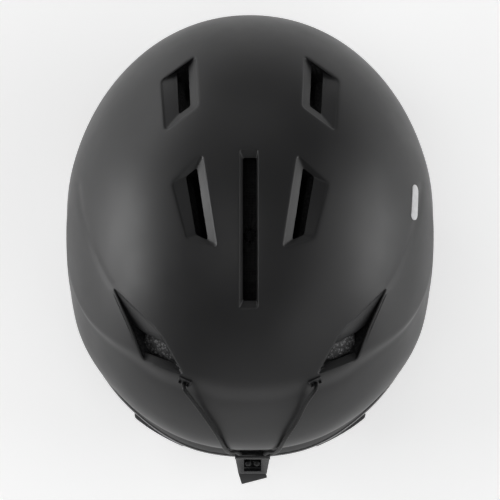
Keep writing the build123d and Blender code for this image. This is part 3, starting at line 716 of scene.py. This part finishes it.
MATERIALS = {
    "shell": shell_material(),
    # liner foam: the second grey is painted shade in the gaps between its beads
    "eps": foam_material("liner_foam", grey(0.03, 0.031), grey(0.008, 0.0085)),
    "trim": plastic_material("edge_trim", grey(0.026, 0.027), 0.2, 0.3, 900, 0.04),
    "badge": badge_material(),
    "hard_plastic": plastic_material("moulded_nylon", grey(0.018, 0.019), 0.38, 0.52),
    # knit fabrics: the first grey is painted shade in the dimples of the knit
    "liner_fabric": fabric_material("liner_mesh", grey(0.014, 0.015), grey(0.05, 0.053)),
    "hook_dots": fabric_material("hook_tape", grey(0.01, 0.011), grey(0.03, 0.031), 900, 0.6),
    "steel": metal_material(),
    "dial_rubber": dial_material(),
    "band_plastic": plastic_material("band_nylon", grey(0.026, 0.027), 0.42, 0.55),
    "webbing": webbing_material(),
    "fleece": fleece_material(),
    "button": plastic_material("button_red", (0.35, 0.02, 0.015), 0.3, 0.42, 900, 0.05),
    "cord": cord_material(),
    "clip_plastic": plastic_material("clip_gloss", grey(0.014, 0.015), 0.22, 0.34, 900, 0.05),
    "pull_rubber": plastic_material("pull_rubber", grey(0.03, 0.031), 0.5, 0.65, 1600, 0.1),
    # the first grey is painted shade in the dimples of the knit
    "ear_fabric": fabric_material("ear_fabric", grey(0.016, 0.018), grey(0.055, 0.06), 820),
    "nape_fabric": fabric_material("nape_fabric", grey(0.012, 0.013), grey(0.045, 0.048), 820),
}


# CAD pieces that stay or get softened edges
# Light foam for the rear vents; its second grey is painted shade in the gaps between beads
RAW_FOAM = foam_material("raw_foam", grey(0.26, 0.265), grey(0.03, 0.031))
SLOT_OF = {part["node"]: part["material_slot"] for part in frame["record"]["subparts"]}
BODIES = frame["record"]["behaviour"]["bodies"]
BODY_OF = {node: body for body, nodes in BODIES.items() for node in nodes}
MOULDED_EDGE = 0.5
WELD = 0.02  # points of the CAD mesh nearer than this are one


def paint_cad():
    """Every CAD node gets its slot's material, whether it stays or is replaced later."""
    for node, obj in frame["nodes"].items():
        obj.data.materials.clear()
        obj.data.materials.append(MATERIALS[SLOT_OF[node]])


def copy_of(node, name):
    """New object with a CAD node's mesh, its doubled points welded."""
    obj = bpy.data.objects.new(name, frame["nodes"][node].data.copy())
    obj.data.transform(frame["nodes"][node].matrix_world)
    bpy.context.scene.collection.objects.link(obj)
    edit_mesh(obj, bmesh.ops.remove_doubles, ["verts"], dist=WELD * MM)
    return obj


def stand_for(obj, node, sharp):
    """Gives a CAD node's slot and body to the object that replaces it."""
    finish_object(obj, MATERIALS[SLOT_OF[node]], BODY_OF[node], [node], sharp)


def soften(node):
    """The CAD piece again, with its moulded edges rounded."""
    obj = copy_of(node, node + "_moulded")
    edit_mesh(obj, bmesh.ops.dissolve_limit, ["verts", "edges"], angle_limit=math.radians(1.0))
    bevel = obj.modifiers.new("edges", "BEVEL")
    bevel.width = MOULDED_EDGE * MM
    bevel.segments = 2
    bevel.angle_limit = math.radians(38)
    bevel.use_clamp_overlap = True
    apply_modifiers(obj)
    stand_for(obj, node, 42)


# Soft goods
CLOTH_PRESSURE = 4.0
CLOTH_FRAMES = 14


def mesh_points(mesh):
    return np.array([v.co for v in mesh.vertices])


def press_in(mesh, depth):
    """Moves points inwards along their normals by depth, in mm: one for all or one for each."""
    normals = np.array([v.normal for v in mesh.vertices])
    mesh.vertices.foreach_set("co", (mesh_points(mesh) - normals * depth * MM).ravel())


def inflate(obj, cap):
    """Cloth pressure swells a closed cushion; no point moves further than cap, in mm."""
    start = mesh_points(obj.data)
    cloth = obj.modifiers.new("cloth", "CLOTH")
    cloth.settings.use_pressure = True
    cloth.settings.uniform_pressure_force = CLOTH_PRESSURE
    cloth.settings.effector_weights.gravity = 0
    cloth.settings.tension_stiffness = 18
    cloth.settings.quality = 4
    scene = bpy.context.scene
    for number in range(1, CLOTH_FRAMES + 1):
        scene.frame_set(number)
    apply_modifiers(obj)
    scene.frame_set(1)
    moved = mesh_points(obj.data) - start
    length = np.linalg.norm(moved, axis=1, keepdims=True)
    limit = cap * MM
    scaled = start + moved * np.minimum(1.0, limit * np.tanh(length / limit) / np.maximum(length, 1e-9))
    obj.data.vertices.foreach_set("co", scaled.ravel())


def cushion(node, voxel=3.0, shrink=1.0, cap=1.8, smooth=6, channels=None):
    """Foam pad in its cover, swollen from the CAD pad's own shape."""
    obj = copy_of(node, node + "_cushion")
    recalculate(obj)
    remesh = obj.modifiers.new("voxels", "REMESH")
    remesh.mode = "VOXEL"
    remesh.voxel_size = voxel * MM
    even = obj.modifiers.new("even", "SMOOTH")
    even.factor = 0.5
    even.iterations = smooth
    apply_modifiers(obj)
    press_in(obj.data, shrink)
    inflate(obj, cap + shrink)
    detail = obj.modifiers.new("detail", "SUBSURF")
    detail.levels = 1
    detail.render_levels = 1
    apply_modifiers(obj)
    if channels is not None:
        press_in(obj.data, channels(mesh_points(obj.data) / MM)[:, None])
    obj.data.update()
    stand_for(obj, node, 180)


def groove(distance, width, depth):
    """Depth of a sewn channel at a distance from its seam."""
    return depth * np.exp(-(distance / width) ** 2)


# Sweeps
def run_of(points):
    """Unit tangents along a line, and the distance along it at each point."""
    tangents = np.gradient(points, axis=0)
    tangents /= np.linalg.norm(tangents, axis=1, keepdims=True)
    return tangents, distance_along(points)


def distance_along(points):
    return np.concatenate([[0], np.cumsum(np.linalg.norm(np.diff(points, axis=0), axis=1))])


def swept_faces(count, size):
    """Faces of count rings of size points each, one after another, with both ends closed."""
    rings = [list(range(i * size, (i + 1) * size)) for i in range(count)]
    faces = [face for a, b in zip(rings, rings[1:]) for face in stitch(a, b)]
    return faces + [tuple(rings[0]), tuple(reversed(rings[-1]))]


def set_uv(obj, uvs):
    layer = obj.data.uv_layers.new(name="cut")
    values = np.array([uvs[loop.vertex_index] for loop in obj.data.loops], dtype=float)
    layer.data.foreach_set("uv", values.ravel())


CORD_DIAMETER = 2.5
CORD_SIDES = 16
BRAID_SWELL = 0.05
BRAID_STRANDS = 4
BRAID_PITCH = 2.2  # radians to the millimetre


def tube_along(name, points, node):
    """Round braided cord along many points, closed at both ends."""
    tangents, lengths = run_of(points)
    up = np.array([0.0, 0.0, 1.0]) if abs(tangents[0][2]) < 0.9 else np.array([1.0, 0.0, 0.0])
    radius = CORD_DIAMETER / 2
    verts, uvs = [], []
    for p, t, s in zip(points, tangents, lengths):
        across = np.cross(t, up)
        across /= np.linalg.norm(across)
        up = np.cross(across, t)
        turn = s * BRAID_PITCH
        for k in range(CORD_SIDES):
            angle = 2 * math.pi * k / CORD_SIDES
            twist = BRAID_STRANDS * angle
            swell = 1 + BRAID_SWELL * math.cos(twist + turn) * math.cos(twist - turn)
            verts.append(p + (across * math.cos(angle) + up * math.sin(angle)) * radius * swell)
            uvs.append((s * MM, angle * radius * MM))
    faces = swept_faces(len(points), CORD_SIDES)
    obj = make_object(name, verts, faces, MATERIALS["cord"], replaces=[node], sharp=60)
    set_uv(obj, uvs)
    return obj


def spline_points(route):
    """Points of the smooth NURBS line that a route controls, as Blender gives them, in mm."""
    curve = bpy.data.curves.new("route", "CURVE")
    curve.dimensions = "3D"
    curve.resolution_u = 12
    spline = curve.splines.new("NURBS")
    spline.points.add(len(route) - 1)
    for point, place in zip(spline.points, route):
        point.co = (*[c * MM for c in place], 1)
    spline.order_u = 3
    spline.use_endpoint_u = True
    holder = bpy.data.objects.new("route", curve)
    mesh = bpy.data.meshes.new_from_object(holder)
    line = np.array([v.co for v in mesh.vertices]) / MM
    bpy.data.objects.remove(holder)
    bpy.data.meshes.remove(mesh)
    return line


WEBBING_WIDTH = 15.0
WEBBING_THICKNESS = 1.5
# One face of the webbing across its width, in shares of width and thickness, with a stitched groove
# near each edge; the other face mirrors it.
WEBBING_SECTION = [(-0.5, -0.25), (-0.485, -0.5), (-0.42, -0.5), (-0.4, -0.38), (-0.36, -0.5), (0, -0.5),
                   (0.36, -0.5), (0.4, -0.38), (0.42, -0.5), (0.485, -0.5), (0.5, -0.25)]


def ribbon(name, points, across, body, node):
    """Flat webbing along points; across is the direction of its width."""
    tangents, lengths = run_of(points)
    across = np.repeat(np.asarray(across, float)[None], len(points), axis=0)
    across = across - tangents * np.sum(across * tangents, axis=1, keepdims=True)
    across /= np.linalg.norm(across, axis=1, keepdims=True)
    upward = np.cross(tangents, across)
    section = WEBBING_SECTION + [(a, -b) for a, b in reversed(WEBBING_SECTION)]
    verts, uvs = [], []
    for p, w, n, s in zip(points, across, upward, lengths):
        for a, b in section:
            verts.append(p + w * a * WEBBING_WIDTH + n * b * WEBBING_THICKNESS)
            uvs.append((s * MM, a * WEBBING_WIDTH * MM))
    faces = swept_faces(len(points), len(section))
    obj = make_object(name, verts, faces, MATERIALS["webbing"], body, [node], 50)
    recalculate(obj)
    set_uv(obj, uvs)


def webbing_line(corners, radius, spacing=2.0):
    """Line of flat webbing that turns at each corner with a bend of one radius."""
    corners = [np.array(c, float) for c in corners]
    line = [corners[0]]
    for before, corner, after in zip(corners, corners[1:], corners[2:]):
        back = (before - corner) / np.linalg.norm(before - corner)
        ahead = (after - corner) / np.linalg.norm(after - corner)
        half_turn = math.acos(np.clip(-np.dot(back, ahead), -1, 1)) / 2
        reach = radius * math.tan(half_turn)
        for t in np.linspace(0, 1, 9):
            line.append(bend_point(corner + back * reach, corner, corner + ahead * reach, t))
    line.append(corners[-1])
    line = np.array(line)
    lengths = distance_along(line)
    wanted = np.linspace(0, lengths[-1], int(lengths[-1] / spacing) + 1)
    return np.stack([np.interp(wanted, lengths, line[:, k]) for k in range(2)], axis=1)


def placed(points):
    """Moves points from the shell's middle to the row frame."""
    return np.asarray(points, float) + np.array([0, CENTRE_Y, 0])


# Trim, badge and rear foam
TRIM_STEPS = 420
# Section of the edging: distance out from the shell's face, and rise above the rim's line.
TRIM_SECTION = [(0.1, 5.0), (0.45, 4.7), (0.6, 3.6), (0.6, 1.5), (0.4, 0.5), (-0.2, 0.05), (-4.6, 0.05),
                (-5.7, 0.6), (-6.1, 1.6), (-6.1, 4.2), (-5.6, 4.95), (-2.6, 5.1), (-2.2, 4.6), (-0.3, 4.6)]
TRIM_FOLLOWS = 4.6  # above this rise the section stands straight up


def build_trim():
    """Moulded edging: one rounded section swept round the rim's line."""
    rings = []
    for angle in np.linspace(0, 2 * math.pi, TRIM_STEPS, endpoint=False):
        middle = rim_distance(angle, TRIM_HEIGHT / 2)
        flat = np.array([middle * math.cos(angle), middle * math.sin(angle)])
        foot = surface_flat(flat)[2] - TRIM_HEIGHT / 2
        out = normals_flat(flat) * [1, 1, 0]
        out /= np.linalg.norm(out)
        for away, rise in TRIM_SECTION:
            x, y, _ = surface(angle, rim_distance(angle, min(rise, TRIM_FOLLOWS)))
            rings.append(np.array([x, y, foot + rise]) + out * away)
    size = len(TRIM_SECTION)
    loops = [list(range(i * size, (i + 1) * size)) for i in range(TRIM_STEPS)]
    faces = [face for a, b in zip(loops, loops[1:] + loops[:1]) for face in stitch(a, b)]
    obj = make_object("edge_trim", rings, faces, MATERIALS["trim"], replaces=["rim_trim"], sharp=50)
    recalculate(obj)


REAR_FOAM = [(63.1, 59.0), (49.2, 64.6), (42.6, 77.4), (65.6, 69.4)]
REAR_FOAM_FACE = 7.0  # depth under the shell at which the outline above is right in plan
# Rings of the foam's crowned face: share of the outline, and depth under the shell.
REAR_FOAM_RINGS = [(1.1, 13.0), (1.05, 9.4), (1.0, 8.6), (0.9, 8.1), (0.7, 7.8), (0.5, 7.7), (0.3, 7.6),
                   (0.12, 7.6)]


def build_rear_foam(side):
    """Beaded foam that shows inside a rear vent, behind its black opening."""
    outline = rounded_outline([(x * side, y) for x, y in REAR_FOAM], 1.6, 4, 1.2)
    loop = flatten_below(outline, REAR_FOAM_FACE)
    middle = loop.mean(axis=0)
    skin = Rings()
    for share, depth in REAR_FOAM_RINGS:
        place = middle + (loop - middle) * share
        skin.add(surface_flat(place) - normals_flat(place) * depth)
    skin.cap()
    name = "rear_vent_foam_" + ("left" if side > 0 else "right")
    obj = make_object(name, np.concatenate(skin.points), skin.faces, RAW_FOAM, sharp=60)
    recalculate(obj)


CAVITY_HALF_WIDTH = 86.0  # the liner's inner surface
CAVITY_FRONT = 109.0
CAVITY_REAR = 108.0
CAVITY_FOOT = 70.0
CAVITY_HEIGHT = 91.0


def cavity_point(angle, elevation, inset):
    """Point on the liner's inner surface, inset towards the head."""
    behind = np.sin(angle) >= 0
    length = np.where(behind, CAVITY_REAR, CAVITY_FRONT) - inset
    power = np.where(behind, REAR_POWER, FRONT_POWER)
    across = np.abs(np.cos(angle)) / (CAVITY_HALF_WIDTH - inset)
    along = np.abs(np.sin(angle)) / length
    radius = (across**power + along**power) ** (-1 / power) * np.cos(elevation)
    z = CAVITY_FOOT + (CAVITY_HEIGHT - inset) * np.sin(elevation)
    return np.stack([radius * np.cos(angle), radius * np.sin(angle) + CENTRE_Y, z], axis=-1)


CROWN_MESH_INSET = 8.9
CROWN_MESH_REACH = 66  # degrees down from the crown
PUCKER = 0.25


def build_crown_mesh():
    """Thin mesh lining under the crown that carries the pads and screens the vents."""
    around, rings = 96, 34
    angles = np.linspace(0, 2 * math.pi, around, endpoint=False)
    points = [cavity_point(0.0, math.pi / 2, CROWN_MESH_INSET)]
    for ring in range(1, rings + 1):
        elevation = math.pi / 2 - math.radians(CROWN_MESH_REACH) * ring / rings
        puckers = PUCKER * np.sin(angles * 22 + ring * 0.9)
        points += list(cavity_point(angles, elevation, CROWN_MESH_INSET + puckers))
    faces = [(0, 1 + k, 1 + (k + 1) % around) for k in range(around)]
    for ring in range(rings - 1):
        first = 1 + ring * around
        faces += stitch(list(range(first, first + around)), list(range(first + around, first + 2 * around)))
    obj = make_object("crown_mesh", points, faces, MATERIALS["liner_fabric"], sharp=180)
    thicken(obj, 0.6, 0)
    finish_object(obj, MATERIALS["liner_fabric"], sharp=180)


BADGE_MIDDLE = (-99.0, -20.0)
BADGE_AHEAD = (-99.5, -30.0)  # plan point that the pill's long side runs towards
BADGE_HALF_RUN = 9.0  # from its middle to the middle of each round end
BADGE_RADIUS = 4.0
# Rings from its edge to its middle: share of the radius, and rise above the shell.
BADGE_RINGS = ((1.0, -0.3), (1.0, 0.25), (0.93, 0.5), (0.75, 0.58), (0.4, 0.6), (0.05, 0.6))


def build_badge():
    """Plain pill inlay on the right-hand side of the shell."""
    middle = flatten(BADGE_MIDDLE)
    ahead = flatten(BADGE_AHEAD) - middle
    ahead /= np.linalg.norm(ahead)
    aside = np.array([-ahead[1], ahead[0]])
    skin = Rings()
    count = 48
    for share, rise in BADGE_RINGS:
        ring = []
        for k in range(count):
            t = 2 * math.pi * k / count
            end = BADGE_HALF_RUN * (1 if math.cos(t) > 0 else -1)
            along = end + BADGE_RADIUS * share * math.cos(t) if abs(math.cos(t)) > 1e-6 else end
            across = BADGE_RADIUS * share * math.sin(t)
            ring.append(middle + ahead * (along - end * (1 - share)) + aside * across)
        ring = np.array(ring)
        skin.add(surface_flat(ring) + normals_flat(ring) * rise)
    skin.cap()
    obj = make_object("badge_inlay", np.concatenate(skin.points), skin.faces, MATERIALS["badge"],
                      replaces=["side_badge"], sharp=50)
    recalculate(obj)


# Goggle retainer
LEFT_CORD = [(37.9, 85.6, 153.0), (39.9, 89.2, 158.4), (38.0, 92.8, 158.8), (34.6, 97.4, 154.6),
             (30.4, 103.4, 148.4), (25.6, 110.4, 141.8), (20.8, 118.0, 134.6), (17.2, 124.8, 125.4),
             (14.4, 131.0, 112.5), (11.8, 133.2, 98.0), (9.7, 133.4, 84.0), (7.6, 134.6, 72.4),
             (6.0, 136.2, 63.2)]
RIGHT_CORD = [(-37.9, 85.6, 153.0), (-39.9, 89.2, 158.4), (-38.0, 92.8, 158.8), (-34.6, 97.4, 154.6),
              (-31.4, 103.6, 148.2), (-28.4, 110.8, 141.2), (-23.8, 118.2, 134.0), (-20.0, 124.8, 124.8),
              (-17.3, 130.8, 112.5), (-14.6, 133.2, 98.0), (-12.6, 133.4, 84.0), (-10.8, 134.6, 72.4),
              (-9.2, 136.2, 63.2)]


def build_retainer_cord(name, route, node):
    points = spline_points(placed(route))
    obj = tube_along(name, points, node)


# Chin strap
STRAP_X = 78.0
STRAP_Z = 13.5
STRAP_BEND_RADIUS = 22
STRAP_CORNERS = [(-STRAP_X, 11), (-STRAP_X, -34), (-56, -76), (-26, -98), (26, -98), (56, -76),
                 (STRAP_X, -34), (STRAP_X, 11)]
BUCKLE_MIDDLE = np.array([68.4, -52.3])
BUCKLE_ALONG = np.array([22.0, 42.0]) / math.hypot(22, 42)
LONG_END = 19.4  # from the buckle's middle to where each strap goes into it
SHORT_END = 9.6
STRAP_LEGS = [("front", (-35, 62.85), -6), ("rear", (45, 54.95), 15)]  # top (y, z) and foot y
LEG_TOP_X = 90.2
LEG_FOOT_X = 83.3
LEG_FOOT_Z = 21.0
LEG_BOW = 0.35


def build_straps():
    """Both webbings of the chin strap, and the four legs that it hangs from."""
    routes = {
        "chin_strap_long": STRAP_CORNERS[:6] + [BUCKLE_MIDDLE - BUCKLE_ALONG * LONG_END],
        "chin_strap_short": [BUCKLE_MIDDLE + BUCKLE_ALONG * SHORT_END] + STRAP_CORNERS[6:],
    }
    for node, corners in routes.items():
        line = webbing_line(corners, STRAP_BEND_RADIUS)
        points = placed(np.column_stack([line, np.full(len(line), STRAP_Z)]))
        ribbon(node + "_webbing", points, (0, 0, 1), "chin_strap", node)
    shares = np.linspace(0, 1, 22)[:, None]
    for side, label in ((1, "left"), (-1, "right")):
        for leg, (top_y, top_z), foot_y in STRAP_LEGS:
            top = np.array([LEG_TOP_X * side, top_y, top_z])
            low = np.array([LEG_FOOT_X * side, foot_y, LEG_FOOT_Z])
            line = top + (low - top) * shares
            line[:, 0] += side * LEG_BOW * np.sin(shares[:, 0] * math.pi)
            node = f"strap_{leg}_leg_{label}"
            ribbon(node + "_webbing", placed(line), np.cross(low - top, (1, 0, 0)), ROOT, node)


# Studio
STUDIO_LIGHTS = [  # name, azimuth from the wearer's left towards the back, elevation, watts
    ("left_low", 0, 12, 14.0),
    ("right_low", 180, 12, 9.0),
    ("front_left_low", 315, 12, 4.5),
    ("overhead", 0, 80, 2.4),
    ("back_low", 90, 12, 1.5),
    ("back_high", 90, 38, 0.8),
    ("back_right_high", 135, 38, 2.7),
    ("front_high", 270, 38, 1.6),
    ("right_high", 180, 38, 2.0),
]
LIGHT_DISTANCE = 1.6  # metres, from a point near the helmet's middle
LIGHT_AIM = (0, 0, 0.09)
LIGHT_SIZE = (1.0, 0.7)
FLOOR_REACH = 12000
FLOOR_Z = -0.2
FLOOR_GLOW = 0.48
SKY = ((0.03, 0.8), (0.09, 0.16), (0.75, 0.03))  # height in the sky and its grey, level to overhead
VIEW_WIDTH = 310.0  # what the camera sees across at the level of the widest outline
VIEW_DISTANCE = 1800.0
VIEW_MIDDLE = 8.7  # behind the shell's middle
SENSOR = 36


def build_floor():
    corners = [(-1, -1), (1, -1), (1, 1), (-1, 1)]
    points = [(x * FLOOR_REACH * MM, y * FLOOR_REACH * MM, FLOOR_Z * MM) for x, y in corners]
    mesh = bpy.data.meshes.new("floor")
    mesh.from_pydata(points, [], [(0, 1, 2, 3)])
    floor = bpy.data.objects.new("floor", mesh)
    bpy.context.scene.collection.objects.link(floor)
    paper = Surface("pale_paper", (0.86, 0.86, 0.86), 0.9,
                    Emission_Strength=FLOOR_GLOW, Emission_Color=(1, 1, 1, 1))
    floor.data.materials.append(paper.material)


def build_sky():
    world = bpy.data.worlds.new("studio")
    world.use_nodes = True
    bpy.context.scene.world = world
    nodes, links = world.node_tree.nodes, world.node_tree.links
    coordinates = nodes.new("ShaderNodeTexCoord")
    split = nodes.new("ShaderNodeSeparateXYZ")
    ramp = nodes.new("ShaderNodeValToRGB")
    links.new(coordinates.outputs["Generated"], split.inputs["Vector"])
    links.new(split.outputs["Z"], ramp.inputs["Fac"])
    links.new(ramp.outputs["Color"], nodes["Background"].inputs["Color"])
    stops = ramp.color_ramp.elements
    stops[0].position = SKY[0][0]
    stops[1].position = SKY[2][0]
    middle = stops.new(SKY[1][0])
    for stop, (_, grey) in zip((stops[0], middle, stops[2]), SKY):
        stop.color = (grey, grey, grey, 1)
    nodes["Background"].inputs["Strength"].default_value = 1.0


def build_light(name, azimuth, elevation, power):
    light = bpy.data.lights.new(name, "AREA")
    light.shape = "RECTANGLE"
    light.size, light.size_y = LIGHT_SIZE
    light.energy = power
    lamp = bpy.data.objects.new(name, light)
    turn, lift = math.radians(azimuth), math.radians(elevation)
    away = Vector((math.cos(lift) * math.cos(turn), math.cos(lift) * math.sin(turn), math.sin(lift)))
    lamp.location = Vector(LIGHT_AIM) + away * LIGHT_DISTANCE
    lamp.rotation_euler = away.to_track_quat("Z", "Y").to_euler()
    bpy.context.scene.collection.objects.link(lamp)


def build_camera():
    camera_data = bpy.data.cameras.new("camera")
    camera = bpy.data.objects.new("camera", camera_data)
    camera_data.sensor_width = SENSOR
    camera_data.lens = SENSOR * VIEW_DISTANCE / VIEW_WIDTH
    camera.location = (0, (CENTRE_Y + VIEW_MIDDLE) * MM, (EQUATOR_Z + VIEW_DISTANCE) * MM)
    camera.rotation_euler = (0, 0, math.pi)
    bpy.context.scene.collection.objects.link(camera)
    bpy.context.scene.camera = camera
    bpy.context.scene.view_settings.view_transform = "Standard"


# Assembly
EAR_CHANNEL_MIDDLE = (1, 25)  # y from the shell's middle, and z
EAR_CHANNEL_HALF = (38.0, 16.0)


def ear_channels(points):
    """Sewn channel round the ear pad's face, just inside its edge."""
    y, z = points[:, 1] - CENTRE_Y, points[:, 2]
    edge = np.maximum(np.abs(y - EAR_CHANNEL_MIDDLE[0]) / EAR_CHANNEL_HALF[0],
                      np.abs(z - EAR_CHANNEL_MIDDLE[1]) / EAR_CHANNEL_HALF[1])
    return groove((edge - 1) * 20, 1.5, 0.8)


paint_cad()
build_floor()
build_sky()
for light in STUDIO_LIGHTS:
    build_light(*light)
build_camera()
build_retainer_cord("goggle_cord_left", LEFT_CORD, "retainer_cord_left")
build_retainer_cord("goggle_cord_right", RIGHT_CORD, "retainer_cord_right")
build_shell(MATERIALS["shell"])
build_trim()
build_badge()
build_crown_mesh()
for side in (1, -1):
    build_rear_foam(side)
build_straps()
for node in ("retainer_clip", "retainer_pull_tab", "cord_eyelets", "buckle_body", "buckle_tongue",
             "strap_divider_left", "strap_divider_right", "fit_housing", "fit_cover"):
    soften(node)
for side_name in ("left", "right"):
    cushion("ear_pad_" + side_name, channels=ear_channels)
    cushion("ear_fleece_" + side_name, voxel=1.2, shrink=0.1, cap=0.5, smooth=1)
    cushion("nape_pad_" + side_name, voxel=2.2, shrink=0.0, cap=1.6, smooth=2)
    cushion("side_pad_" + side_name, voxel=2.6)
    cushion("crown_pad_" + side_name, voxel=2.6)
for node in ("brow_pad", "rear_pad", "chin_pad", "occiput_pads"):
    cushion(node, voxel=2.4)
